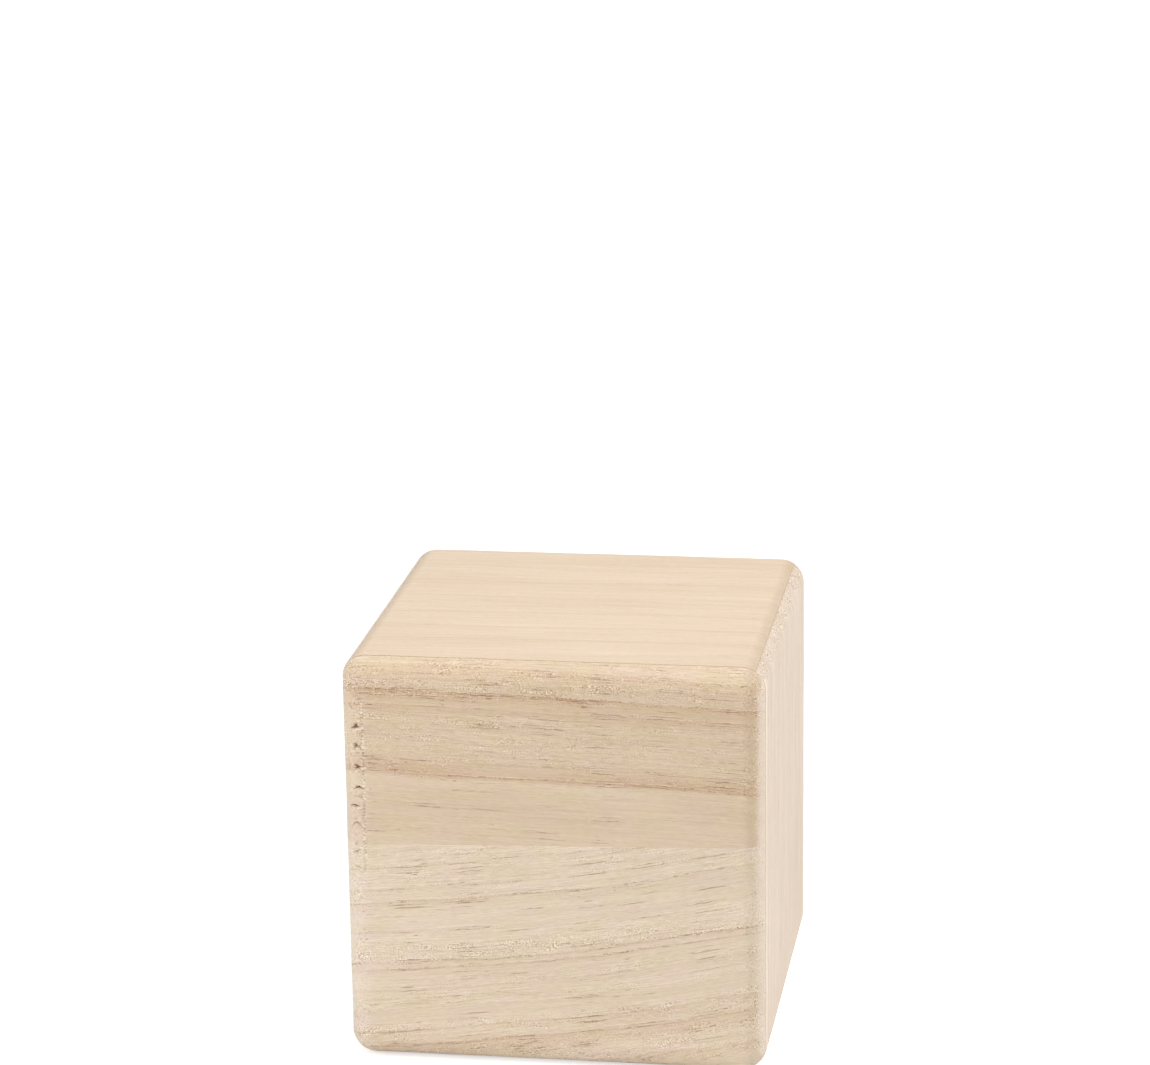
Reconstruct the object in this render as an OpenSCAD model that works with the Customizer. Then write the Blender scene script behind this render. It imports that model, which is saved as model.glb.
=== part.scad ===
// Hollow wooden cube: thin boards glued edge to face into a closed box,
// then sanded flat and rounded over on every edge and corner.
// X runs to the right, Y to the back and Z up. The origin is the middle of the bottom face.

/* [Cube] */
// Outer size of the cube, the same along X, Y and Z
cube_size = 80; // [55:1:160]
// Radius sanded onto every edge, and so onto every corner
edge_radius = 4.7; // [1:0.1:6]

/* [Boards] */
// Thickness of the front and back boards, which cover the whole face
face_thickness = 3.6; // [1.5:0.1:9]
// Thickness of the side boards, which stand between the front and back boards
side_thickness = 2; // [1:0.1:9]
// Thickness of the top and bottom boards, which are let in between the other four
cap_thickness = 3.6; // [1.5:0.1:9]

/* [Front staves] */
// Width of the upper front stave, from the top face down to the glue line at mid width
upper_stave_width = 35.4; // [30:0.2:45]
// Slope of the glue line between the two front staves, in degrees, rising to the right
glue_line_slope = 1.65; // [-4:0.05:4]

/* [Torn grain] */
// Number of scoops torn out of the left rounding of the upper front stave
tear_count = 5; // [0:1:6]
// Distance of the highest scoop below the top face
tear_first = 9; // [7:0.5:12]
// Distance from one scoop to the next, which is the step of the cutter
tear_pitch = 4; // [2:0.1:4.6]
// Width of a scoop at the surface
tear_width = 1.1; // [0.5:0.1:1.8]
// Depth of a scoop below the surface
tear_depth = 0.4; // [0.1:0.05:0.8]
// Place of the scoops round the rounding, in degrees from the front face
tear_angle = 20; // [10:1:60]

/* [Hidden] */
$fn = 96;

// Cutting solids reach this far past the cube
over = 1;

half = cube_size / 2;
flat = cube_size - 2 * edge_radius;
edge_axis = half - edge_radius;
inner_width = cube_size - 2 * side_thickness;
inner_depth = cube_size - 2 * face_thickness;

// The glue line's two ends, taken past both sides of the front
glue_reach = half + over;
glue_rise = glue_reach * tan(glue_line_slope);
glue_height = cube_size - upper_stave_width;
glue_line = [[glue_reach, glue_height + glue_rise], [-glue_reach, glue_height - glue_rise]];

// The ball whose cap has a scoop's width and depth
tear_ball = (pow(tear_width / 2, 2) + pow(tear_depth, 2)) / (2 * tear_depth);
tear_reach = edge_radius - tear_depth + tear_ball;

upper_stave_colour = [0.83, 0.75, 0.64];
lower_stave_colour = [0.86, 0.79, 0.69];
side_colour = [0.91, 0.85, 0.78];
cap_colour = [0.93, 0.86, 0.76];

// The whole outside as sanded: flats, quarter-round edges and ball corners
module sanded_cube() {
    ends = [-edge_axis, edge_axis];
    translate([0, 0, half]) {
        for (turn = [[0, 0, 0], [90, 0, 0], [0, 90, 0]])
            rotate(turn) {
                cube([flat, flat, cube_size], center = true);
                for (x = ends, y = ends)
                    translate([x, y, 0])
                        cylinder(r = edge_radius, h = flat, center = true);
            }
        for (x = ends, y = ends, z = ends)
            translate([x, y, z])
                sphere(r = edge_radius);
    }
}

// An outline drawn on the front, as deep as the front board is thick
module through_front(outline) {
    translate([0, face_thickness - half, 0])
        rotate([90, 0, 0])
            linear_extrude(height = face_thickness + over)
                polygon(outline);
}

// Scoops that a cutter left where it broke out of the end grain, one for each step
module torn_scoops() {
    for (step = [0 : 1 : tear_count - 1])
        translate([-edge_axis, -edge_axis, cube_size - tear_first - step * tear_pitch])
            rotate([0, 0, -tear_angle])
                translate([0, -tear_reach, 0])
                    sphere(r = tear_ball);
}

module front_upper_stave() {
    top = cube_size + over;
    color(upper_stave_colour)
        difference() {
            intersection() {
                sanded_cube();
                through_front(concat(glue_line, [[-glue_reach, top], [glue_reach, top]]));
            }
            torn_scoops();
        }
}

module front_lower_stave() {
    color(lower_stave_colour)
        intersection() {
            sanded_cube();
            through_front(concat(glue_line, [[-glue_reach, -over], [glue_reach, -over]]));
        }
}

module back_board() {
    color(lower_stave_colour)
        intersection() {
            sanded_cube();
            translate([-half - over, half - face_thickness, -over])
                cube([cube_size + 2 * over, face_thickness + over, cube_size + 2 * over]);
        }
}

module right_board() {
    color(side_colour)
        intersection() {
            sanded_cube();
            translate([half - side_thickness, -inner_depth / 2, -over])
                cube([side_thickness + over, inner_depth, cube_size + 2 * over]);
        }
}

module left_board() {
    mirror([1, 0, 0])
        right_board();
}

module top_board() {
    color(cap_colour)
        intersection() {
            sanded_cube();
            translate([-inner_width / 2, -inner_depth / 2, cube_size - cap_thickness])
                cube([inner_width, inner_depth, cap_thickness + over]);
        }
}

module bottom_board() {
    translate([0, 0, cube_size])
        mirror([0, 0, 1])
            top_board();
}

front_upper_stave();
front_lower_stave();
back_board();
left_board();
right_board();
top_board();
bottom_board();
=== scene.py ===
"""Looks of the hollow wooden cube: finely meshed boards, joint lines, torn grain and solid wood.

Lengths are in metres in the part's frame (X right, Y back, Z up), unless a name ends in _MM or the
text says mm.
"""
import math
from dataclasses import dataclass, field
from typing import NamedTuple

import bpy
import numpy as np
from mathutils import Matrix, Vector


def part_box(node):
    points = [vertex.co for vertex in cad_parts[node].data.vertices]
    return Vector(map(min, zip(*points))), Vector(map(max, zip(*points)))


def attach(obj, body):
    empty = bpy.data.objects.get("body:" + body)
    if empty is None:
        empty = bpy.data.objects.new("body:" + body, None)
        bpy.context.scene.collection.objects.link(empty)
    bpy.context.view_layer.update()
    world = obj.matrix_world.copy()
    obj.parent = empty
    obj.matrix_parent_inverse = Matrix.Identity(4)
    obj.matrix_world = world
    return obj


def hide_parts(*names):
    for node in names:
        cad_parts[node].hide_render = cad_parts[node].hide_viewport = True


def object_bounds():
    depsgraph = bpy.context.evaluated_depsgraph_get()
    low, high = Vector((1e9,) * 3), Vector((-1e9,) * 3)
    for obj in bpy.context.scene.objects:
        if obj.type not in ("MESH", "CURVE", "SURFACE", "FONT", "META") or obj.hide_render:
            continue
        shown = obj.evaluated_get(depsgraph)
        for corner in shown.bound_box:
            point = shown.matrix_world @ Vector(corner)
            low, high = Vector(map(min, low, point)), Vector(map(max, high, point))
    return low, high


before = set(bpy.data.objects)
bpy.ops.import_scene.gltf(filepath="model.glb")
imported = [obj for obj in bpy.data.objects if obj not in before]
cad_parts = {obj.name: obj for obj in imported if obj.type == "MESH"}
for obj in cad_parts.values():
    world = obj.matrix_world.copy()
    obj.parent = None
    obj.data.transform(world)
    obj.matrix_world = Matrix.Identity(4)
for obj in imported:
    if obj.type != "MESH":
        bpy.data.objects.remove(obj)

cad_low, cad_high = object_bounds()

MM = 0.001
TO_MM = 1000
TINY = 1e-9
X, Y, Z = np.eye(3)


# ---------------------------------------------------------------- sizes, worked out from the frame

def thickness(node, axis):
    """How thick a board is, along its own thin axis."""
    low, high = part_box(node)
    return high[axis] - low[axis]


HALF = cad_high.x
FACE_THICKNESS = thickness("back_board", 1)
SIDE_THICKNESS = thickness("right_board", 0)
CAP_THICKNESS = thickness("top_board", 2)

# The back board ends part of the way round the edges, RIM_INSET short of the full width,
# and that gives the radius of the edges.
RIM_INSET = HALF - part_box("back_board")[1].x
EDGE_RADIUS = FACE_THICKNESS + RIM_INSET + math.sqrt(2 * FACE_THICKNESS * RIM_INSET)
EDGE_AXIS = HALF - EDGE_RADIUS

# The glue line between the front staves runs straight from one rim to the other.
RIM_X = HALF - RIM_INSET
GLUE_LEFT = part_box("front_upper_stave")[0].z
GLUE_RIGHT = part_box("front_lower_stave")[1].z


def glue_height(x):
    """Height of the glue line above the bottom face, at a place across the front."""
    return GLUE_LEFT + (GLUE_RIGHT - GLUE_LEFT) * (x + RIM_X) / (2 * RIM_X)


# ---------------------------------------------------------------- shader nodes by short calls

WHITE = (1, 1, 1, 1)


class Graph:
    """Adds shader nodes by short calls, so that a formula reads as one."""

    # The Mix node has sockets of each kind of value. These are the factor and the two colours.
    MIX_COLOUR_INPUTS = (0, 6, 7)
    MIX_COLOUR_OUTPUT = 2

    def __init__(self, owner):
        owner.use_nodes = True
        self.tree = owner.node_tree
        self.tree.nodes.clear()

    def feed(self, socket, value):
        """Sets a socket to a value, or links it to another node's output."""
        if isinstance(value, bpy.types.NodeSocket):
            self.tree.links.new(value, socket)
        else:
            socket.default_value = value

    def add(self, kind, settings=None, **inputs):
        """A node, with its settings and with its inputs by name."""
        node = self.tree.nodes.new(kind)
        for name, value in (settings or {}).items():
            setattr(node, name, value)
        for name, value in inputs.items():
            self.feed(node.inputs[name.replace("_", " ")], value)
        return node

    def shade(self, kind, **inputs):
        """The shader that a new node gives."""
        return self.add(kind, **inputs).outputs[0]

    def math(self, operation, *values, clamp=False):
        node = self.add("ShaderNodeMath", {"operation": operation, "use_clamp": clamp})
        for socket, value in zip(node.inputs, values):
            self.feed(socket, value)
        return node.outputs[0]

    def chain(self, operation, values):
        """The values joined by an operation, from left to right."""
        total = values[0]
        for value in values[1:]:
            total = self.math(operation, total, value)
        return total

    def sum(self, *values):
        return self.chain("ADD", values)

    def times(self, *values):
        return self.chain("MULTIPLY", values)

    def most(self, *values):
        return self.chain("MAXIMUM", values)

    def clamped(self, value):
        """The value, kept between 0 and 1."""
        return self.math("ADD", value, 0.0, clamp=True)

    def vector_math(self, operation, vector, other):
        node = self.add("ShaderNodeVectorMath", {"operation": operation})
        self.feed(node.inputs[0], vector)
        self.feed(node.inputs[1], other)
        return node

    def dot(self, vector, direction):
        return self.vector_math("DOT_PRODUCT", vector, tuple(direction)).outputs["Value"]

    def tinted(self, colour, tint):
        return self.vector_math("MULTIPLY", colour, tint).outputs[0]

    def scaled(self, colour, factor):
        node = self.add("ShaderNodeVectorMath", {"operation": "SCALE"}, Scale=factor)
        self.feed(node.inputs[0], colour)
        return node.outputs[0]

    def vector(self, x, y, z):
        return self.add("ShaderNodeCombineXYZ", X=x, Y=y, Z=z).outputs[0]

    def noise(self, vector, detail=0.0):
        """Noise about 0, mostly between -0.25 and 0.25."""
        node = self.add("ShaderNodeTexNoise", Vector=vector, Scale=1.0, Detail=detail)
        return self.math("SUBTRACT", node.outputs["Fac"], 0.5)

    def scattered(self, vector):
        """The distance to the nearest of points scattered about 1 apart, and that point's random
        number from 0 to 1."""
        node = self.add("ShaderNodeTexVoronoi", Vector=vector, Scale=1.0)
        return node.outputs["Distance"], self.dot(node.outputs["Color"], X)

    def step(self, value, start, end):
        """0 before start, 1 after end, and smooth between them. With start above end, it falls."""
        node = self.add("ShaderNodeMapRange", {"interpolation_type": "SMOOTHSTEP"},
                        Value=value, From_Min=start, From_Max=end)
        return node.outputs["Result"]

    def hill(self, value, start, top_start, top_end, end):
        """1 from top_start to top_end, and smoothly down to 0 at start and at end."""
        return self.times(self.step(value, start, top_start), self.step(value, end, top_end))

    def blend(self, factor, first, second):
        """A colour that goes from the first to the second as the factor goes from 0 to 1."""
        node = self.add("ShaderNodeMix", {"data_type": "RGBA"})
        for index, value in zip(self.MIX_COLOUR_INPUTS, (factor, first, second)):
            self.feed(node.inputs[index], value)
        return node.outputs[self.MIX_COLOUR_OUTPUT]

    def attribute(self, name):
        """A level that store() keeps for the mesh's points."""
        return self.add("ShaderNodeAttribute", {"attribute_name": name}).outputs["Fac"]


# ---------------------------------------------------------------- camera, light and floor

CAMERA_PLACE = Vector((0.11237, -0.71881, 0.29636))
CAMERA_AZIMUTH = 8.969
CAMERA_ELEVATION = 15.507
CAMERA_ROLL = -0.835
CAMERA_LENS_MM = 122.19
CAMERA_SENSOR_MM = 36
CAMERA_CLIP = (0.01, 50)

AMBIENT = 0.578


def add_camera():
    camera = bpy.data.objects.new("camera", bpy.data.cameras.new("camera"))
    camera.data.sensor_width = CAMERA_SENSOR_MM
    camera.data.lens = CAMERA_LENS_MM
    camera.data.clip_start, camera.data.clip_end = CAMERA_CLIP
    turn = Matrix.Rotation(math.radians(CAMERA_AZIMUTH), 4, "Z")
    tilt = Matrix.Rotation(math.radians(90 - CAMERA_ELEVATION), 4, "X")
    roll = Matrix.Rotation(math.radians(CAMERA_ROLL), 4, "Z")
    camera.matrix_world = Matrix.Translation(CAMERA_PLACE) @ turn @ tilt @ roll
    bpy.context.scene.collection.objects.link(camera)
    bpy.context.scene.camera = camera


def add_lamp(name, direction, distance, size, level):
    """A square soft box that faces the cube. At level 1 it lights a facing white surface to white."""
    lamp = bpy.data.objects.new(name, bpy.data.lights.new(name, "AREA"))
    lamp.data.size = size
    lamp.data.energy = level * (math.pi * distance) ** 2
    away = Vector(direction).normalized() * distance
    lamp.location = away + Vector((0, 0, HALF))
    lamp.rotation_euler = (-away).to_track_quat("-Z", "Y").to_euler()
    bpy.context.scene.collection.objects.link(lamp)


def background_share(g):
    """1 for rays that show what is behind the cube: from the camera, in gloss or through glass."""
    path = g.add("ShaderNodeLightPath").outputs
    return g.most(path["Is Camera Ray"], path["Is Glossy Ray"], path["Is Transmission Ray"])


def add_world():
    """Soft light from all round, and plain white behind the cube."""
    world = bpy.data.worlds.new("studio")
    bpy.context.scene.world = world
    g = Graph(world)
    ambient = g.shade("ShaderNodeBackground", Color=WHITE, Strength=AMBIENT)
    white = g.shade("ShaderNodeBackground", Color=WHITE, Strength=1.0)
    mixed = g.add("ShaderNodeMixShader", Fac=background_share(g))
    g.feed(mixed.inputs[1], ambient)
    g.feed(mixed.inputs[2], white)
    g.add("ShaderNodeOutputWorld", Surface=mixed.outputs[0])


def add_floor(reach=4.0, albedo=0.8, glow=0.55):
    """A white floor: its own colour is pale, and to the camera it glows a little, so that only
    the cube's shadow shows on it."""
    mesh = bpy.data.meshes.new("floor")
    corners = [(x * reach, y * reach, 0) for x, y in ((-1, -1), (1, -1), (1, 1), (-1, 1))]
    mesh.from_pydata(corners, [], [(0, 1, 2, 3)])
    floor = bpy.data.objects.new("floor", mesh)
    bpy.context.scene.collection.objects.link(floor)
    material = bpy.data.materials.new("floor")
    g = Graph(material)
    both = g.add("ShaderNodeAddShader")
    glowing = g.times(background_share(g), glow)
    g.feed(both.inputs[0], g.shade("ShaderNodeBsdfDiffuse", Color=(albedo, albedo, albedo, 1)))
    g.feed(both.inputs[1], g.shade("ShaderNodeEmission", Color=WHITE, Strength=glowing))
    g.add("ShaderNodeOutputMaterial", Surface=both.outputs[0])
    mesh.materials.append(material)


# ---------------------------------------------------------------- boards

RIM = "rim"

# How far apart the grid lines are: on the flats, on the roundings and in the torn strip. Away from a
# closer stretch the spacing grows, by SPACING_GROWTH of the way from it. It is worked out at
# GRID_SAMPLES places along each direction.
FLAT_STEP = 0.6 * MM
EDGE_STEP = 0.3 * MM
TORN_STEP = 0.1 * MM
SPACING_GROWTH = 0.15
GRID_SAMPLES = 4001

# The broken edge along a joint: its width, its depth, the share of the depth that it has at the
# glue line on the front, and the grid lines across it.
EASE_WIDTH = 0.35 * MM
EASE_DEPTH = 0.12 * MM
GLUE_EASE = 0.1
EASE_ROWS = 4


class Zone(NamedTuple):
    """A stretch of the way across a board where the grid lines are step apart."""
    start: float
    end: float
    step: float


@dataclass
class Board:
    """One board, seen square on from outside: u to the right, v up and w towards the viewer.

    A stop is RIM where the board runs out into the rounding, down to its full thickness. Otherwise
    it is the distance from the cube's middle at which the board meets the next one. glue says
    which side of v, if any, follows the glue line on the front. The zones have fine detail.
    """
    node: str
    u: np.ndarray
    v: np.ndarray
    thickness: float
    u_stop: object = RIM
    v_stop: object = RIM
    glue: str = ""
    u_zones: list = field(default_factory=list)
    v_zones: list = field(default_factory=list)

    @property
    def w(self):
        return np.cross(self.u, self.v)

    def last_turn(self, stop):
        """How far round an edge the board reaches, as an angle from its face."""
        if stop is RIM:
            return math.acos(1 - self.thickness / EDGE_RADIUS)
        return math.asin((stop - EDGE_AXIS) / EDGE_RADIUS)

    def joint_direction(self, stop, sideways):
        """The direction across the joint at a stop: w under a rim, and sideways elsewhere."""
        return self.w if stop is RIM else sideways

    def sides(self):
        """For each side of the outside grid: its index, the direction across its joint, and
        whether it is the glue line."""
        low = self.glue == "low"
        high = self.glue == "high"
        across_u = self.joint_direction(self.u_stop, self.u)
        across_v = self.joint_direction(self.v_stop, self.v)
        return [
            (np.s_[0], across_u, False),
            (np.s_[-1], across_u, False),
            (np.s_[:, 0], self.v if low else across_v, low),
            (np.s_[:, -1], self.v if high else across_v, high),
        ]


def grid_lines(flat, round_low, round_high, zones):
    """Places of the grid lines over the surface, from one joint to the other: close on the
    roundings, at the joints and in the zones, and gradually wider apart away from them."""
    length = round_low + flat + round_high
    ease_step = EASE_WIDTH / EASE_ROWS
    joints = [Zone(0, EASE_WIDTH, ease_step), Zone(length - EASE_WIDTH, length, ease_step)]
    zones = zones + joints
    if round_low:
        zones.append(Zone(0, round_low, EDGE_STEP))
    if round_high:
        zones.append(Zone(length - round_high, length, EDGE_STEP))
    place = np.linspace(0, length, GRID_SAMPLES)
    spacing = np.full_like(place, FLAT_STEP)
    for zone in zones:
        away = np.maximum(0, np.maximum(zone.start - place, place - zone.end))
        spacing = np.minimum(spacing, zone.step + SPACING_GROWTH * away)
    density = 1 / spacing
    passed = np.insert(np.cumsum(np.diff(place) * (density[1:] + density[:-1]) / 2), 0, 0)
    even = np.linspace(0, passed[-1], math.ceil(passed[-1]) + 1)
    return np.interp(even, passed, place)


def stations(flat, turn_low, turn_high, zones):
    """Grid lines along one direction: the share of the flat passed, and the angle round an edge."""
    round_low = turn_low * EDGE_RADIUS
    past = grid_lines(flat, round_low, turn_high * EDGE_RADIUS, zones) - round_low
    turn = (np.minimum(past, 0) + np.maximum(past - flat, 0)) / EDGE_RADIUS
    return np.clip(past / flat, 0, 1), turn


def edge_normals(board, turn_u, turn_v):
    """Outward unit normals in u, v and w for each pair of edge angles, ball corners included."""
    a, b = np.abs(turn_u), np.abs(turn_v)
    last_u, last_v = board.last_turn(board.u_stop), board.last_turn(board.v_stop)
    if board.u_stop is RIM and board.v_stop is RIM:
        # On a ball corner the grid is the quarter of a disc, squeezed from a square.
        share_a, share_b = a / last_u, b / last_v
        reach = np.maximum(share_a, share_b)
        ratio = np.minimum(share_a, share_b) / np.maximum(reach, TINY)
        bearing = np.where(share_a >= share_b, ratio, 2 - ratio) * math.pi / 4
        n_u = np.sin(reach * last_u) * np.cos(bearing)
        n_v = np.sin(reach * last_u) * np.sin(bearing)
    elif board.v_stop is RIM:
        # u is cut straight, and v runs down to the rim.
        n_u = np.sin(a)
        left = np.cos(a)
        n_v = left * np.sin(b / last_v * np.arccos(np.minimum(1, math.cos(last_v) / left)))
    else:
        n_u, n_v = np.sin(a), np.sin(b)
    n_w = np.sqrt(1 - n_u ** 2 - n_v ** 2)
    return n_u * np.sign(turn_u), n_v * np.sign(turn_v), n_w


def outside(board):
    """The board's outside as two grids in the part's frame: points and outward normals."""
    last_u, last_v = board.last_turn(board.u_stop), board.last_turn(board.v_stop)
    share_u, turn_u = stations(2 * EDGE_AXIS, last_u, last_u, board.u_zones)
    core_u = EDGE_AXIS * (2 * share_u - 1)
    glue = glue_height(core_u + EDGE_RADIUS * np.sin(turn_u)) - HALF
    low = glue if board.glue == "low" else np.full_like(glue, -EDGE_AXIS)
    high = glue if board.glue == "high" else np.full_like(glue, EDGE_AXIS)
    share_v, turn_v = stations(
        float(np.mean(high - low)),
        0 if board.glue == "low" else last_v,
        0 if board.glue == "high" else last_v,
        board.v_zones,
    )
    core_v = low[:, None] + (high - low)[:, None] * share_v
    n_u, n_v, n_w = edge_normals(board, *np.meshgrid(turn_u, turn_v, indexing="ij"))
    normals = n_u[..., None] * board.u + n_v[..., None] * board.v + n_w[..., None] * board.w
    core = core_u[:, None, None] * board.u + core_v[..., None] * board.v + EDGE_AXIS * board.w
    return core + EDGE_RADIUS * normals + HALF * Z, normals


# ---------------------------------------------------------------- relief of the outside

SANDING_DEPTH = 0.05 * MM

# The lengths of the waves that make the sanded faces, the broken edges and the stitches uneven.
SANDING_WAVES = (31 * MM, 23 * MM, 14 * MM, 9 * MM)
EASE_WAVES = (5 * MM, 2.3 * MM, 1.1 * MM)
STITCH_WAVES = (1.6 * MM, 0.9 * MM, 0.6 * MM)

# What the materials get for points further than this from a joint, and for those inside.
FAR_FROM_SEAM_MM = 3.0


def waves(points, lengths, seed, each=3):
    """A smooth random level from 0 to 1, with waves of the given lengths in all directions."""
    rng = np.random.default_rng(seed)
    total = np.zeros(points.shape[:-1])
    for length in lengths:
        for _ in range(each):
            direction = rng.normal(size=3)
            direction *= 2 * math.pi / (length * np.linalg.norm(direction))
            total += np.sin(points @ direction + rng.uniform(0, 2 * math.pi))
    return 0.5 + 0.5 * np.tanh(total / math.sqrt(len(lengths) * each / 2))


def sanding(points):
    """Slow unevenness of hand-sanded faces."""
    return SANDING_DEPTH * waves(points, SANDING_WAVES, seed=7)


def side_distances(points):
    """How far each grid point is over the surface from the four sides, as Board.sides orders them."""
    found = []
    for axis in (0, 1):
        steps = np.linalg.norm(np.diff(points, axis=axis), axis=-1)
        passed = np.insert(np.cumsum(steps, axis=axis), 0, 0, axis=axis)
        found += [passed, np.take(passed, [-1], axis=axis) - passed]
    return found


def seam_distance(board, points, glue):
    """How far each point is from the nearest joint: the glue line, or any other."""
    found = [
        distance
        for (_, _, is_glue), distance in zip(board.sides(), side_distances(points))
        if is_glue == glue
    ]
    return np.minimum.reduce(found) if found else np.full(points.shape[:-1], np.inf)


def eased(distance):
    """1 on a joint, down to 0 at EASE_WIDTH from it."""
    return np.clip(1 - distance / EASE_WIDTH, 0, 1) ** 1.5


def eased_joints(board, points):
    """The broken edge that sanding leaves on each side of a joint, deeper where grain tore."""
    ragged = 0.6 + 0.8 * waves(points, EASE_WAVES, seed=11) ** 2
    seams = eased(seam_distance(board, points, glue=False))
    glue = eased(seam_distance(board, points, glue=True))
    return EASE_DEPTH * ragged * np.maximum(seams, GLUE_EASE * glue)


class Tear(NamedTuple):
    """A scoop of torn grain on the left rounding of the front. Sizes and places are in mm."""
    height: float      # above the bottom face
    place: float       # round the edge, from where the rounding starts
    length: float
    width: float
    depth: float
    tilt: float        # degrees, rising towards the flat of the front
    bow: float = 0.0   # how far its middle stands above its ends


TEARS = [
    Tear(70.6, 2.7, 1.7, 0.5, 0.24, -55),
    Tear(66.75, 1.75, 1.5, 0.95, 0.60, 40),
    Tear(62.7, 1.65, 1.3, 1.05, 0.50, 15, 0.3),
    Tear(58.8, 1.55, 1.3, 1.0, 0.56, -20),
    Tear(54.6, 1.4, 1.9, 0.6, 0.60, 0, 0.15),
    Tear(52.85, 1.05, 0.8, 1.7, 0.28, 80),
    Tear(50.65, 2.4, 2.4, 0.5, 0.52, 0, 0.35),
    Tear(49.6, 2.6, 0.9, 0.4, 0.20, 20),
    Tear(48.5, 2.0, 1.0, 0.7, 0.18, 0),
    Tear(46.9, 1.9, 2.4, 0.48, 0.32, 5, 0.75),
    Tear(45.6, 2.1, 1.6, 0.7, 0.18, -8, -0.3),
    Tear(43.5, 2.0, 0.9, 1.0, 0.22, 30),
    Tear(41.75, 2.3, 1.7, 0.7, 0.36, 30),
    Tear(40.9, 2.3, 0.7, 0.4, 0.20, 10),
    Tear(38.75, 1.95, 0.9, 0.5, 0.28, 0),
    Tear(35.2, 1.9, 0.7, 0.35, 0.14, 5),
]

# The cutter that rounded the left edge stopped along a line a little way round it, and tore fibres
# there in a row of stitches. They start and stop softly, at these heights and over these lengths.
STITCH_PLACE_MM = 0.35
STITCH_WIDTH_MM = 0.32
STITCH_DEPTH_MM = 0.26
STITCH_HEIGHTS_MM = (36, 73)
STITCH_FADES_MM = (3, 2)

# Fibres stand up round a tear: most at this reach, and less to both sides of it, over this spread.
FRAYED_REACH = 1.35
FRAYED_SPREAD = 0.7

# Where painted light makes the end grain at the right of the front paler, round the edge from where it
# starts, and how much further round that is in the top and bottom corners. The last is for points
# inside.
PALE_FROM_MM = 3.5
PALE_CORNER_LOSS_MM = 4.0
FAR_FROM_PALE_MM = -9.0


def round_edge(points, normals, side):
    """How far round the left edge (side -1) or the right one (side 1) a point of the front or back
    is, in mm, from where the rounding starts. Below 0 it is on the flat."""
    on_edge = np.arctan2(side * normals[..., 0], np.abs(normals[..., 1])) * EDGE_RADIUS
    on_flat = np.minimum(0, side * points[..., 0] - EDGE_AXIS)
    return (np.maximum(on_edge, 0) + on_flat) * TO_MM


def pale_reach(points, normals):
    """How far past the start of the painted light on the right end grain a point is, in mm."""
    later = PALE_CORNER_LOSS_MM * np.abs(normals[..., 2])
    return round_edge(points, normals, 1) - PALE_FROM_MM - later


def across_tear(tear, place, height):
    """Where a point is in a tear: its reach, 0 in the middle and 1 at a ragged outline, and how
    much it is on the side where fibres stand up, below and towards the flat: about 0.85 there, 0.5
    between and 0.15 opposite."""
    across = tear.place - place
    up = height - tear.height
    tilt = math.radians(tear.tilt)
    c, s = math.cos(tilt), math.sin(tilt)
    along = (across * c + up * s) / (tear.length / 2)
    bowed = tear.bow * (1 - np.minimum(along ** 2, 2))
    aside = (up * c - across * s - bowed) / (tear.width / 2)
    bearing = np.arctan2(aside, along)
    lobes = 0.24 * np.sin(3 * bearing + 7 * tear.height)
    ragged = 1 + lobes + 0.2 * np.sin(5 * bearing + tear.height)
    reach = np.hypot(along, aside)
    return reach * ragged, 0.5 + (along - aside) / (4 * np.maximum(reach, 0.1))


def torn_grain(points, normals):
    """Depth of the torn places on the left rounding of the front, and how much fibres stand up
    round them, from 0 to 1."""
    place = round_edge(points, normals, -1)
    height = points[..., 2] * TO_MM
    depth = np.zeros(place.shape)
    frayed = np.zeros(place.shape)
    for tear in TEARS:
        reach, lower_side = across_tear(tear, place, height)
        depth = np.maximum(depth, tear.depth * np.clip(1 - reach ** 2, 0, 1) ** 0.75)
        rim = np.clip(1 - np.abs(reach - FRAYED_REACH) / FRAYED_SPREAD, 0, 1)
        frayed = np.maximum(frayed, rim * lower_side * min(1, 2 * tear.depth))
    low, high = STITCH_HEIGHTS_MM
    fade_low, fade_high = STITCH_FADES_MM
    near = np.exp(-((place - STITCH_PLACE_MM) / STITCH_WIDTH_MM) ** 2)
    near *= np.clip((height - low) / fade_low, 0, 1) * np.clip((high - height) / fade_high, 0, 1)
    stitch = waves(points, STITCH_WAVES, seed=5)
    depth = np.maximum(depth, STITCH_DEPTH_MM * near * np.clip(2 * stitch - 0.9, 0, 1))
    frayed = np.maximum(frayed, near * np.clip(1.3 - 2.2 * stitch, 0, 1))
    return depth * MM, frayed


def pressed_in(board, points, normals, torn):
    """How far each point of the outside moves, into the wood, and never off a joint face."""
    sunk = normals * (sanding(points) + eased_joints(board, points) + torn)[..., None]
    for side, across, _ in board.sides():
        sunk[side] -= (sunk[side] @ across)[:, None] * across
    return sunk


# ---------------------------------------------------------------- meshes

# Where a joint face is less high than this, it is left out: the outside runs into the inside.
LEAST_HEIGHT = 1e-8

# Edges that turn by more than this are shaded sharp.
SHARP_ANGLE = math.radians(50)


def grid_faces(index):
    """The faces of a grid of points, turning the same way as u and v."""
    corners = (index[:-1, :-1], index[1:, :-1], index[1:, 1:], index[:-1, 1:])
    return np.stack([corner.ravel() for corner in corners], axis=-1).tolist()


def grid_outline(index):
    """The grid's outline, turning the same way as its faces."""
    return np.concatenate([index[:-1, 0], index[-1, :-1], index[:0:-1, -1], index[0, :0:-1]])


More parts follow.
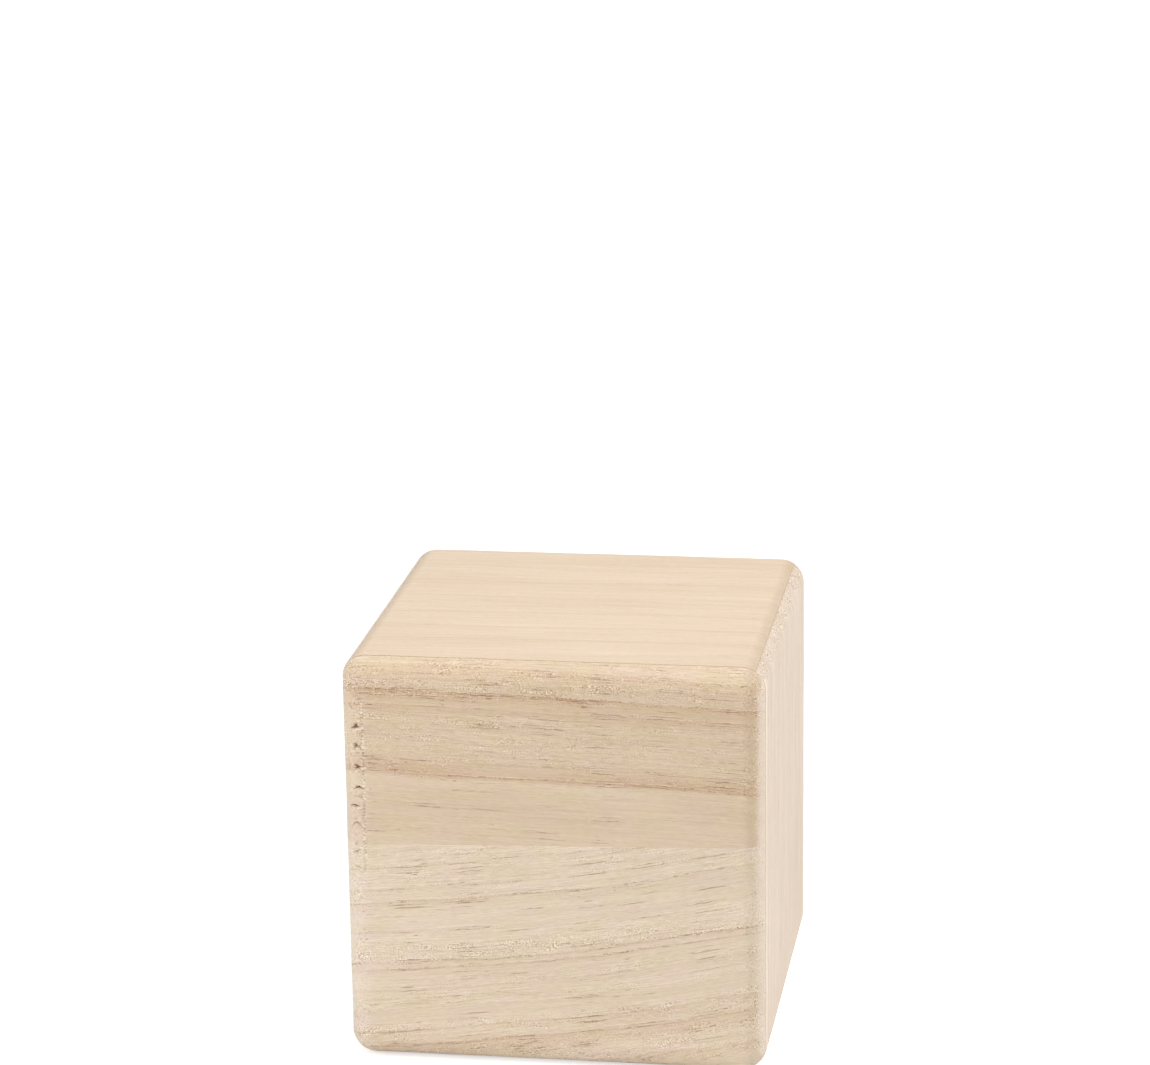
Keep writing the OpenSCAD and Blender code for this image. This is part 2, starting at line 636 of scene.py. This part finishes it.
def joint_faces(outline, inner):
    """The faces between the outside's outline and the inside's. They have no height at a rim."""
    faces = []
    for a, b, c, d in zip(outline, inner, np.roll(inner, -1), np.roll(outline, -1)):
        corners = list(dict.fromkeys((int(a), int(b), int(c), int(d))))
        if len(corners) > 2:
            faces.append(corners)
    return faces


def board_mesh(board, points, sunk):
    """A closed board: a finely meshed outside, flat joint faces and a flat inside."""
    shape = points.shape[:2]
    index = np.arange(shape[0] * shape[1]).reshape(shape)
    outline = grid_outline(index)
    placed = (points - sunk).reshape(-1, 3)
    above_inside = (placed[outline] - HALF * Z) @ board.w - (HALF - board.thickness)
    high = above_inside > LEAST_HEIGHT
    inner = outline.copy()
    inner[high] = index.size + np.arange(high.sum())
    inside = placed[outline[high]] - above_inside[high, None] * board.w
    mesh = bpy.data.meshes.new(board.node)
    faces = grid_faces(index) + joint_faces(outline, inner) + [inner[::-1].tolist()]
    mesh.from_pydata(np.concatenate([placed, inside]).tolist(), [], faces)
    return mesh


def store(mesh, name, levels, elsewhere=0.0):
    """Keeps a level for each point of the outside, for the materials. Points inside get one level."""
    padded = np.full(len(mesh.vertices), elsewhere, np.float32)
    padded[:levels.size] = levels.ravel()
    mesh.attributes.new(name, "FLOAT", "POINT").data.foreach_set("value", padded)


def add_board(board, material):
    """The board as a piece, with the levels that its material reads."""
    points, normals = outside(board)
    on_front = board.w @ Y < 0
    torn = frayed = np.zeros(points.shape[:-1])
    if on_front:
        torn, frayed = torn_grain(points, normals)
    mesh = board_mesh(board, points, pressed_in(board, points, normals, torn))
    store(mesh, "torn_mm", torn * TO_MM)
    store(mesh, "frayed", frayed)
    seam = np.minimum(seam_distance(board, points, glue=False) * TO_MM, FAR_FROM_SEAM_MM)
    store(mesh, "seam_mm", seam, elsewhere=FAR_FROM_SEAM_MM)
    if on_front:
        store(mesh, "pale_mm", pale_reach(points, normals), elsewhere=FAR_FROM_PALE_MM)
    mesh.shade_smooth()
    mesh.set_sharp_from_angle(angle=SHARP_ANGLE)
    mesh.materials.append(material)
    piece = bpy.data.objects.new(board.node + "_wood", mesh)
    bpy.context.scene.collection.objects.link(piece)
    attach(piece, "root")
    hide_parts(board.node)
    return piece


# ---------------------------------------------------------------- wood: what a board's wood is like

class Ring(NamedTuple):
    """Where a year's growth starts: a line of pores, and a brown band that fades away from it.

    Its place, measured across the rings from the cube's middle or bottom, its reach and its start
    are in mm. A reach below 0 fades downwards. Over the start, the band comes up on its other side.
    """
    place: float
    line: float
    band: float
    reach: float
    start: float = 0.3


class Rough(NamedTuple):
    """A strip between two places across the rings, in mm, and how much stronger its fine grain is."""
    start: float
    end: float
    level: float


@dataclass
class Wood:
    """A board's wood. along, across and inward are its grain's directions."""
    name: str
    colour: tuple
    along: np.ndarray
    across: np.ndarray
    inward: np.ndarray
    rings: list
    seed: float                 # moves the board along the noise, in mm, so that no two are alike
    slope: float = 0.0          # how far rings climb for each mm along the grain
    bow: float = 0.0            # how they curve, in 1/mm: they climb by bow times along squared
    lean: float = 0.35          # how far rings move across for each mm inward
    wander: float = 1.5         # how far noise moves them, in mm
    fine: float = 0.8           # how strong the fine grain is outside the rough strips
    rough: list = field(default_factory=list)
    pores: float = 0.16         # share of the scattered places that hold a pore
    long_pores: float = 0.0     # what is added to that share for long pores
    rough_end: float = 0.0      # how much stronger the fine grain is at the left end
    faint_end: float = 0.0      # how much fainter the rings' lines are at the left end
    mottle: float = 1.0         # how strong the pink and olive patches are
    end_tint: tuple = (0.84, 0.825, 0.805)    # how much of red, green and blue end grain keeps
    streaky: float = 0.14       # how strong the medium streaks are
    dark_seam: float = 0.32     # how dark the edges at the joints are
    end_seam: float = 1.0       # the share of that where the joint is in end grain
    end_fuzz: float = 0.0       # how much stronger the fine grain is on end grain
    painted_light_ends: bool = False     # whether its ends get painted light: a cool pale left end and a paler right rounding
    highlight_width: float = 0.0      # width of the painted highlight along the joints, in mm


class Place(NamedTuple):
    """Where a point is in the wood, in mm: along the grain, across the rings and inward."""
    along: object
    ring: object
    inward: object


@dataclass
class Grain:
    """What all marks of a board's wood are made from: the place in the wood, the noises that
    NOISES lists, and levels that those noises give."""
    place: Place
    end_grain: object    # 1 where the fibres end at the surface, and 0 where they run along it
    broad: object
    medium: object
    thin: object
    fibre: object
    hair: object
    fuzz: object
    patches: object
    clumps: object       # where specks gather
    lively: object       # how strong the fine grain is
    fuzzy: object        # how much of the fine grain is fuzz


class Rings(NamedTuple):
    """How strong the rings' thin dark lines, the painted highlights just over them and the soft bands
    are.
    """
    lines: object
    lit_lips: object
    bands: object


class Marks(NamedTuple):
    """How strong the marks on the wood are: pores with ring lines, specks, and loose fibres. pale also
    holds the painted highlights over ring lines and beside long pores.
    """
    dark: object
    dark_specks: object
    pale: object


BAND_COLOUR = (0.60, 0.365, 0.20, 1)
PORE_COLOUR = (0.31, 0.14, 0.04, 1)
TORN_SHADE_COLOUR = (0.19, 0.13, 0.07, 1)
FRAYED_HIGHLIGHT_COLOUR = (1.0, 0.86, 0.70, 1)
TUFT_AND_HIGHLIGHT_COLOUR = (0.97, 0.82, 0.65, 1)
RIGHT_EDGE_LIGHT_COLOUR = (0.815, 0.69, 0.57)
RIDGE_HIGHLIGHT_COLOUR = (0.975, 0.84, 0.695, 1)
PINK_TINT = (1.010, 0.992, 1.024, 1)
OLIVE_TINT = (0.995, 1.004, 0.955, 1)
LEFT_END_LIGHT_TINT = (1.01, 1.02, 1.07, 1)
LEFT_RIM_REFLECTION_TINT = (0.93, 0.975, 1.05, 1)

# How far a fine mark changes red, green and blue: dark fibres are browner, and light ones whiter.
FIBRE_TINT = (0.77, 0.98, 1.30)

# Noises along the grain: the length and width of their streaks in mm, and their detail.
NOISES = {
    "broad": (60, 6, 1),
    "medium": (26, 1.2, 1),
    "thin": (30, 0.4, 1),
    "fibre": (8, 0.22, 1),
    "hair": (1.5, 0.18),
    "fuzz": (0.32, 0.26, 1),
    "patches": (14, 3, 1),
}
CLUMPS = (3.2, 1.6)
HUES = (8, 3.5, 1)
BEADS = (0.7, 0.45)

# Lengths and widths of the slim marks, in mm.
LONG_PORE = (9, 0.14)
SHORT_PORE = (1.8, 0.16)
TUFT = (2.6, 0.19)
SPECK = 0.34
LIT_EDGE_SHIFT = 0.17

# Left of the middle of the front: where left_share is full, and where the painted light and reflection
# on the left end grain starts and is full.
LEFT_END_MM = 34
LEFT_LIGHT_MM = (34.3, 35.8)

# Heights between which the painted highlights beside the joints fade out, below the top corners.
HIGHLIGHT_TOP_MM = (75, 79)

ROUGHNESS = 0.68
BUMP_HEIGHT = 0.04 * MM


# ---------------------------------------------------------------- wood: places and noises

def ring_place(g, wood, along, across, inward):
    """Which part of the rings a point is in: the place across the board, with the grain's slope,
    bow and wandering taken out."""
    broad = g.noise(g.vector(g.times(along, 1 / 45), g.times(across, 1 / 14), g.times(inward, 1 / 14)))
    small = g.noise(g.vector(g.times(along, 1 / 13), g.times(across, 1 / 4), g.times(inward, 1 / 4)))
    return g.sum(
        across,
        g.times(along, -wood.slope),
        g.times(along, along, -wood.bow),
        g.times(inward, wood.lean),
        g.times(broad, wood.wander * 2),
        g.times(small, wood.wander * 0.5),
    )


def place_in_wood(g, wood):
    point = g.add("ShaderNodeTexCoord").outputs["Object"]
    along = g.times(g.dot(point, wood.along), TO_MM)
    across = g.times(g.dot(point, wood.across), TO_MM)
    inward = g.times(g.sum(g.dot(point, wood.inward), HALF - max(0, wood.inward @ Z) * HALF), TO_MM)
    return Place(g.sum(along, wood.seed), ring_place(g, wood, along, across, inward), inward)


def stretched(g, place, length, width):
    """The place as texture coordinates, drawn out along the grain."""
    parts = zip(place, (1 / length, 1 / width, 1 / width))
    return g.vector(*(g.times(part, scale) for part, scale in parts))


def streaks(g, place, length, width, detail=0.0):
    """Noise drawn out along the grain, into streaks of about that length and width in mm."""
    return g.noise(stretched(g, place, length, width), detail)


def spindles(g, place, length, width, share):
    """Slim spindles along the grain, up to that long and wide in mm. share says how many of the
    places scattered about the wood hold one, and it may change over the surface."""
    widest = 0.4
    distance, number = g.scattered(stretched(g, place, length / (2 * widest), width / (2 * widest)))
    size = g.clamped(g.times(g.sum(number, share, -1), 3))
    room = g.sum(g.times(size, widest), g.times(distance, -1))
    return g.step(room, 0, 0.12)


def specks(g, place, size, share):
    """Light specks and dark ones, up to that size in mm. share says how many of the places
    scattered about the wood hold one of each."""
    distance, number = g.scattered(stretched(g, place, size * 1.5, size))
    room = g.step(distance, 0.48, 0.26)
    light = g.times(room, g.step(g.sum(number, share), 1.0, 1.12))
    dark = g.times(room, g.step(g.sum(share, g.times(number, -1)), 0.0, 0.12))
    return light, dark


def left_share(g, wood, place):
    """0 in the middle of a front board and to the right of it, up to 1 at its left end."""
    return g.step(place.along, wood.seed, wood.seed - LEFT_END_MM)


def liveliness(g, wood, place, patches, end_grain):
    """How strong the fine grain is: more in the rough strips, in patches, to the left and on ends."""
    levels = [wood.fine]
    for start, end, level in wood.rough:
        levels.append(g.times(g.hill(place.ring, start - 1, start + 0.5, end - 0.5, end + 1), level))
    to_left = g.times(left_share(g, wood, place), wood.rough_end)
    lively = g.times(g.sum(*levels), g.sum(1, g.times(patches, 1.2), to_left))
    return g.sum(lively, g.times(g.step(end_grain, 0.1, 0.5), wood.end_fuzz))


def grain_of(g, wood):
    place = place_in_wood(g, wood)
    normal = g.add("ShaderNodeTexCoord").outputs["Normal"]
    end_grain = g.math("ABSOLUTE", g.dot(normal, wood.along))
    noises = {name: streaks(g, place, *shape) for name, shape in NOISES.items()}
    clumps = g.step(streaks(g, place, *CLUMPS), -0.06, 0.14)
    lively = liveliness(g, wood, place, noises["patches"], end_grain)
    fuzzy = g.sum(g.step(lively, 0.7, 1.7), g.times(g.step(end_grain, 0.1, 0.5), 0.4))
    return Grain(place, end_grain, clumps=clumps, lively=lively, fuzzy=fuzzy, **noises)


# ---------------------------------------------------------------- wood: rings, pores and fibres

def rings_of(g, wood, grain):
    """The marks of all rings. Fine noise makes their lines and the painted highlights over them
    ragged.
    """
    shift = g.sum(g.times(grain.fibre, 0.7), g.times(grain.hair, 0.5), g.times(grain.fuzz, 0.8))
    ragged = g.sum(grain.place.ring, shift)
    lines, lit_lips, bands = [], [], []
    for at, line, band, reach, start in wood.rings:
        lines.append(g.times(g.hill(ragged, at - 0.24, at - 0.06, at + 0.02, at + 0.2), line))
        # painted highlight just over each ring line
        lit_lips.append(g.times(g.hill(ragged, at + 0.1, at + 0.26, at + 0.3, at + 0.6), line))
        before = at - math.copysign(start, reach)
        bands.append(g.times(g.hill(grain.place.ring, before, at, at, at + reach), band))
    return Rings(g.sum(*lines), g.sum(*lit_lips), g.sum(*bands))


def ring_lines(g, wood, grain, rings):
    """The rings' dark lines, broken up by the streaks, and the painted highlights just over them,
    standing in for light caught by a groove's edge. Both fade towards the left end."""
    kept = g.sum(1, g.times(left_share(g, wood, grain.place), -wood.faint_end))
    streaked = (g.times(grain.medium, 3.0), g.times(grain.hair, 1.5), g.times(grain.fibre, 3.0))
    line = g.times(rings.lines, g.clamped(g.sum(0.2, *streaked)), kept)
    lit_lip = g.times(rings.lit_lips, kept, g.sum(0.3, g.times(grain.medium, 2), g.times(grain.hair, 2)))
    return g.clamped(line), g.clamped(lit_lip)


def pore_share(g, wood, grain, rings, in_strong_grain):
    """How many of the scattered places hold a pore: more in rows, in bands and along ring lines."""
    rows = g.sum(g.times(grain.patches, 0.8), g.times(grain.thin, -0.9))
    in_rings = (g.times(rings.bands, 0.25), g.times(rings.lines, 0.7))
    return g.sum(wood.pores, rows, *in_rings, in_strong_grain, g.times(grain.fuzzy, -0.2))


def pores_of(g, wood, grain, share):
    """Long and short pores in one, and the lit edges beside the long ones."""
    wavy = grain.place._replace(ring=g.sum(grain.place.ring, g.times(grain.hair, 0.3)))
    beside = wavy._replace(ring=g.sum(wavy.ring, -LIT_EDGE_SHIFT))
    long_share = g.sum(share, wood.long_pores)
    long_ones = spindles(g, wavy, *LONG_PORE, long_share)
    edges = spindles(g, beside, *LONG_PORE, long_share)
    short_ones = spindles(g, wavy, *SHORT_PORE, g.sum(share, -0.12))
    return g.most(long_ones, short_ones), g.times(edges, g.sum(0.8, g.times(long_ones, -0.8)))


def tufts_of(g, grain, in_strong_grain):
    """Pale loose fibres that lie along the grain."""
    share = g.sum(0.2, grain.patches, in_strong_grain, g.times(grain.fuzzy, -0.12))
    return spindles(g, grain.place, *TUFT, share)


def specks_of(g, grain):
    """The specks in fuzzy grain: more where they clump, and fewer on end grain."""
    share = g.sum(grain.fuzzy, g.times(grain.clumps, 0.4), g.times(grain.end_grain, -0.6), -0.5)
    return specks(g, grain.place, SPECK, g.times(share, 0.3))


def marks_of(g, wood, grain, rings):
    """All the small marks. There are more pores and tufts where the fine grain is strong."""
    in_strong_grain = g.times(g.sum(grain.lively, -0.8), 0.22)
    line, lit_lip = ring_lines(g, wood, grain, rings)
    share = pore_share(g, wood, grain, rings, in_strong_grain)
    pores, lit_edges = pores_of(g, wood, grain, share)
    tufts = tufts_of(g, grain, in_strong_grain)
    light_specks, dark_specks = specks_of(g, grain)
    return Marks(
        dark=g.most(pores, line),
        dark_specks=dark_specks,
        pale=g.most(tufts, lit_lip, lit_edges, light_specks),
    )


# ---------------------------------------------------------------- wood: colours

def fine_tone(g, grain):
    """The finest grain: fibres and hairs, and more fuzz where it is fuzzy."""
    return g.sum(
        g.times(grain.fibre, g.sum(0.42, g.times(grain.fuzzy, -0.14))),
        g.times(grain.hair, g.sum(0.36, g.times(grain.fuzzy, -0.14))),
        g.times(
            grain.fuzz,
            g.sum(0.24, g.times(grain.fuzzy, 0.8)),
            g.sum(0.35, grain.clumps, g.times(grain.fuzzy, 0.3)),
        ),
    )


def grain_tone(g, wood, grain):
    """What the grain makes of red, green and blue: 1 on average, and less in dark fibres."""
    thin_level = g.sum(0.1, g.times(grain.lively, 0.12), g.times(grain.fuzzy, -0.1))
    tone = g.sum(
        g.times(grain.broad, 0.14),
        g.times(grain.medium, wood.streaky),
        g.times(grain.thin, thin_level),
        g.times(fine_tone(g, grain), grain.lively),
    )
    return g.vector_math("ADD", g.scaled(FIBRE_TINT, tone), WHITE[:3]).outputs[0]


def plain_colour(g, wood, grain, tone):
    """The wood's colour before its marks, with other tints on end grain. On the front, the left end
    gets a cool painted light, with a painted reflection at its turned-away rim.
    """
    hue = g.step(streaks(g, grain.place, *HUES), -0.2, 0.2)
    mottle = g.blend(wood.mottle, WHITE, g.blend(hue, PINK_TINT, OLIVE_TINT))
    plain = g.tinted(g.tinted(tone, wood.colour), mottle)
    end_tint = g.blend(g.step(grain.end_grain, 0.05, 0.5), WHITE, (*wood.end_tint, 1))
    colour = g.tinted(plain, end_tint)
    # painted light: a paler, cooler left end, and a cooler, darker rim where it turns away, for
    # grazing reflection
    if wood.painted_light_ends:
        start, end = LEFT_LIGHT_MM
        left_end = g.step(grain.place.along, wood.seed - start, wood.seed - end)
        left_light_tint = g.blend(g.step(grain.end_grain, 0.58, 0.75), LEFT_END_LIGHT_TINT, LEFT_RIM_REFLECTION_TINT)
        colour = g.blend(left_end, colour, g.tinted(plain, left_light_tint))
    return colour


def with_marks(g, grain, rings, marks, colour):
    """The rings' bands, then the pores and specks, then the pale tufts and the painted highlights over
    ring lines and beside long pores.
    """
    uneven = g.sum(0.8, g.times(grain.patches, 1.2), grain.medium)
    colour = g.blend(g.clamped(g.times(rings.bands, g.times(uneven, 0.42))), colour, BAND_COLOUR)
    depth = g.sum(0.48, g.times(grain.fibre, 0.9), g.times(g.step(grain.lively, 0.4, 1.0), 0.1))
    colour = g.blend(g.times(marks.dark, depth), colour, PORE_COLOUR)
    colour = g.blend(g.times(marks.dark_specks, 0.26), colour, PORE_COLOUR)
    # pale tufts are the wood's own colour; the lit edges and the highlights over ring lines are
    # painted highlights
    return g.blend(g.times(marks.pale, 0.6), colour, TUFT_AND_HIGHLIGHT_COLOUR)


def with_right_edge_light(g, grain, tone, colour):
    """Painted light: the end grain at the right of the front turns paler, from a ragged line on, where
    the rounding turns towards the right-hand lamp.
    """
    past = g.sum(g.attribute("pale_mm"), g.times(grain.fuzz, 1.6), g.times(grain.hair, 1.2))
    lit_end = g.tinted(g.blend(0.4, tone, WHITE), RIGHT_EDGE_LIGHT_COLOUR)
    # painted light: paler colour where the right rounding faces the lamp
    return g.blend(g.times(g.step(past, -0.6, 0.9), 0.8), colour, lit_end)


def with_ridge_highlight(g, wood, grain, seam, colour):
    """Painted highlight: a pale strip along the joints of the side boards, where the edge catches the
    light, ending below their top corners.
    """
    highlight = g.hill(seam, 0.08, 0.25, wood.highlight_width, wood.highlight_width + 0.25)
    low, high = HIGHLIGHT_TOP_MM
    below_corner = g.step(grain.place.along, wood.seed + high, wood.seed + low)
    uneven = g.sum(0.7, g.times(grain.medium, 1.4))
    # painted highlight blended in along the joint
    return g.blend(g.times(highlight, below_corner, uneven), colour, RIDGE_HIGHLIGHT_COLOUR)


def with_dark_seam(g, wood, grain, seam, colour):
    """The edge of a joint is dark, in stretches. In end grain, end_seam of that is left."""
    uneven = g.sum(wood.dark_seam, g.times(grain.medium, 0.9), g.times(grain.fuzz, 0.9))
    kept = g.sum(1, g.times(g.step(grain.end_grain, 0.2, 0.5), wood.end_seam - 1))
    dark = g.times(g.step(seam, 0.2, 0.03), uneven, kept)
    return g.blend(g.clamped(dark), colour, PORE_COLOUR)


def with_torn_grain_light_and_shade(g, grain, colour):
    """Painted highlight on the fibres that stand up round the scoops, painted shade between them, and
    painted shade in the scoops' deep insides.
    """
    frayed = g.attribute("frayed")
    beads = g.sum(streaks(g, grain.place, *BEADS), g.times(grain.fuzz, 0.5))
    shaded = g.clamped(g.times(frayed, g.sum(-0.15, g.times(beads, -2.5))))
    lit = g.clamped(g.times(frayed, g.sum(0.6, g.times(beads, 5.0))))
    # painted shade: the deeper the scoop, the darker
    torn = g.step(g.sum(g.attribute("torn_mm"), g.times(grain.fuzz, 0.25)), 0.12, 0.55)
    colour = g.blend(shaded, colour, TORN_SHADE_COLOUR)
    colour = g.blend(lit, colour, FRAYED_HIGHLIGHT_COLOUR)
    return g.blend(g.times(torn, 0.85), colour, TORN_SHADE_COLOUR)


def add_surface(g, grain, marks, colour):
    """The finished surface, with the grain as bump and a faint velvety sheen."""
    height = g.sum(
        g.times(grain.fibre, 0.5),
        g.times(grain.hair, 0.8),
        g.times(grain.fuzz, g.sum(0.5, grain.fuzzy)),
        g.times(g.most(marks.dark, g.times(marks.dark_specks, 0.6)), -0.6),
        g.times(marks.pale, 0.5),
    )
    bump = g.add("ShaderNodeBump", Strength=1.0, Distance=BUMP_HEIGHT, Height=height)
    surface = g.add("ShaderNodeBsdfPrincipled", Base_Color=colour, Normal=bump.outputs[0])
    g.feed(surface.inputs["Roughness"], g.sum(ROUGHNESS, g.times(grain.fibre, 0.3)))
    surface.inputs["Specular IOR Level"].default_value = 0.25
    surface.inputs["Sheen Weight"].default_value = 0.12
    surface.inputs["Sheen Roughness"].default_value = 0.5
    g.add("ShaderNodeOutputMaterial", Surface=surface.outputs[0])


def wood_material(wood):
    material = bpy.data.materials.new(wood.name)
    g = Graph(material)
    grain = grain_of(g, wood)
    rings = rings_of(g, wood, grain)
    marks = marks_of(g, wood, grain, rings)
    seam = g.attribute("seam_mm")
    tone = grain_tone(g, wood, grain)
    colour = plain_colour(g, wood, grain, tone)
    colour = with_marks(g, grain, rings, marks, colour)
    if wood.painted_light_ends:
        colour = with_right_edge_light(g, grain, tone, colour)
    if wood.highlight_width:
        colour = with_ridge_highlight(g, wood, grain, seam, colour)
    colour = with_dark_seam(g, wood, grain, seam, colour)
    colour = with_torn_grain_light_and_shade(g, grain, colour)
    add_surface(g, grain, marks, colour)
    return material


# ---------------------------------------------------------------- the boards and their woods

def even_rings(seed, pitch, middle=0, reach=38):
    """Rings about a pitch apart, for the boards whose rings have no marked places. They go as far
    as the reach on both sides of the middle, all in mm."""
    rng = np.random.default_rng(seed)
    rings = []
    place = middle - reach
    while place < middle + reach:
        rings.append(Ring(place, rng.uniform(0.1, 0.4), rng.uniform(0.15, 0.45), -rng.uniform(1.5, 3)))
        place += pitch * rng.uniform(0.7, 1.4)
    return rings


UPPER_STAVE = Wood(
    "upper_stave_wood", (0.790, 0.629, 0.460), X, Z, Y,
    seed=0,
    slope=-0.026,
    wander=0.7,
    rings=[
        Ring(78.6, 0.0, 0.66, -6.5), Ring(73.5, 1.2, 1.05, -4.2, 1.0), Ring(70.6, 0.2, 0.65, -2.4),
        Ring(67.5, 0.0, 0.2, -8.0, 1.5), Ring(60.0, 0.5, 0.3, 2.0), Ring(57.4, 0.95, 1.18, 3.6, 0.9),
        Ring(51.0, 0.1, 0.0, 6.0), Ring(46.4, 0.1, 0.12, -1.0),
    ],
    fine=0.5,
    rough=[Rough(72.5, 78.8, 0.9), Rough(79.5, 84, 0.5), Rough(56.8, 71.3, 0.57)],
    rough_end=0.12,
    faint_end=0.65,
    pores=0.2,
    long_pores=0.08,
    painted_light_ends=True,
)
LOWER_STAVE = Wood(
    "lower_stave_wood", (0.86, 0.715, 0.555), X, Z, Y,
    seed=150,
    slope=0.149,
    bow=0.00101,
    wander=0.7,
    rings=[
        Ring(42.9, 0.5, 0.2, -2.0), Ring(38.5, 0.4, 0.15, -2.0), Ring(35.6, 0.6, 0.3, -3.0),
        Ring(29.6, 0.3, 0.1, -2.0), Ring(23.3, 1.2, 0.3, -2.5), Ring(21.9, 0.7, 0.2, -1.5),
        Ring(17.9, 0.35, 0.2, -4.0), Ring(13.5, 0.0, 0.2, -4.5, 1.0), Ring(9.8, 0.5, 0.42, -3.5),
        Ring(6.6, 0.7, 0.75, -5.0, 1.4), Ring(0.0, 0.2, 0.5, -6.0, 1.0),
    ],
    fine=0.62,
    rough=[
        Rough(35, 46, 0.35), Rough(27, 29, 0.3), Rough(23, 26.5, 0.7), Rough(14, 20, 0.3),
        Rough(-2, 11, 0.6),
    ],
    pores=0.22,
    long_pores=0.12,
    end_tint=(0.875, 0.875, 0.875),
    painted_light_ends=True,
)
SIDE_COLOUR = (0.770, 0.636, 0.515)
CAP_COLOUR = (0.809, 0.645, 0.478)
SIDE_LOOK = {
    "pores": 0.10,
    "fine": 0.8,
    "mottle": 0.6,
    "streaky": 0.32,
    "end_tint": (0.96, 0.96, 0.96),
    "end_seam": 0.35,
    "end_fuzz": 0.6,
    "highlight_width": 1.1,
}
RIGHT_WOOD = Wood(
    "right_board_wood", SIDE_COLOUR, Z, Y, -X, even_rings(seed=21, pitch=6),
    seed=300, slope=0.02, **SIDE_LOOK,
)
LEFT_WOOD = Wood(
    "left_board_wood", SIDE_COLOUR, Z, -Y, X, even_rings(seed=22, pitch=6),
    seed=450, slope=-0.02, **SIDE_LOOK,
)
TOP_WOOD = Wood(
    "top_board_wood", CAP_COLOUR, X, Y, -Z, even_rings(seed=23, pitch=11),
    seed=600, slope=0.02, pores=0.06, fine=0.5, mottle=0.4, dark_seam=0.6, end_seam=0.45,
)
BOTTOM_WOOD = Wood(
    "bottom_board_wood", CAP_COLOUR, X, -Y, Z, even_rings(seed=24, pitch=11),
    seed=750, slope=0.03,
)
BACK_WOOD = Wood(
    "back_board_wood", LOWER_STAVE.colour, X, Z, -Y, even_rings(seed=25, pitch=9, middle=40),
    seed=900, slope=0.05,
)

FACE_STOP = HALF - FACE_THICKNESS
SIDE_STOP = HALF - SIDE_THICKNESS

# The torn strip is at the left end of both staves, and reaches down to the top of the lower one.
# Over the board u starts at the left, and v at the bottom.
TORN_ROW_STEP = 1.3 * TORN_STEP
TORN_STRIP = Zone(0, 7 * MM, TORN_STEP)
UPPER_TORN = Zone(0, 29 * MM, TORN_ROW_STEP)
LOWER_TORN = Zone(34 * MM, 50 * MM, TORN_ROW_STEP)

UPPER_BOARD = Board(
    "front_upper_stave", X, Z, FACE_THICKNESS,
    glue="low", u_zones=[TORN_STRIP], v_zones=[UPPER_TORN],
)
LOWER_BOARD = Board(
    "front_lower_stave", X, Z, FACE_THICKNESS,
    glue="high", u_zones=[TORN_STRIP], v_zones=[LOWER_TORN],
)
BOARDS = [
    (UPPER_BOARD, UPPER_STAVE, "upper_stave"),
    (LOWER_BOARD, LOWER_STAVE, "lower_stave"),
    (Board("back_board", -X, Z, FACE_THICKNESS), BACK_WOOD, "back_board"),
    (Board("right_board", Y, Z, SIDE_THICKNESS, FACE_STOP), RIGHT_WOOD, "right_board"),
    (Board("left_board", -Y, Z, SIDE_THICKNESS, FACE_STOP), LEFT_WOOD, "left_board"),
    (Board("top_board", X, Y, CAP_THICKNESS, SIDE_STOP, FACE_STOP), TOP_WOOD, "top_board"),
    (Board("bottom_board", X, -Y, CAP_THICKNESS, SIDE_STOP, FACE_STOP), BOTTOM_WOOD, "bottom_board"),
]

add_camera()
add_world()
add_floor()
add_lamp("upper_right", (0.60, -0.15, 0.785), distance=0.9, size=0.6, level=0.55)
add_lamp("left", (-0.85, -0.42, 0.32), distance=0.36, size=0.25, level=0.30)
for board, wood, slot in BOARDS:
    add_board(board, wood_material(wood))

bpy.context.scene.view_settings.view_transform = "Standard"
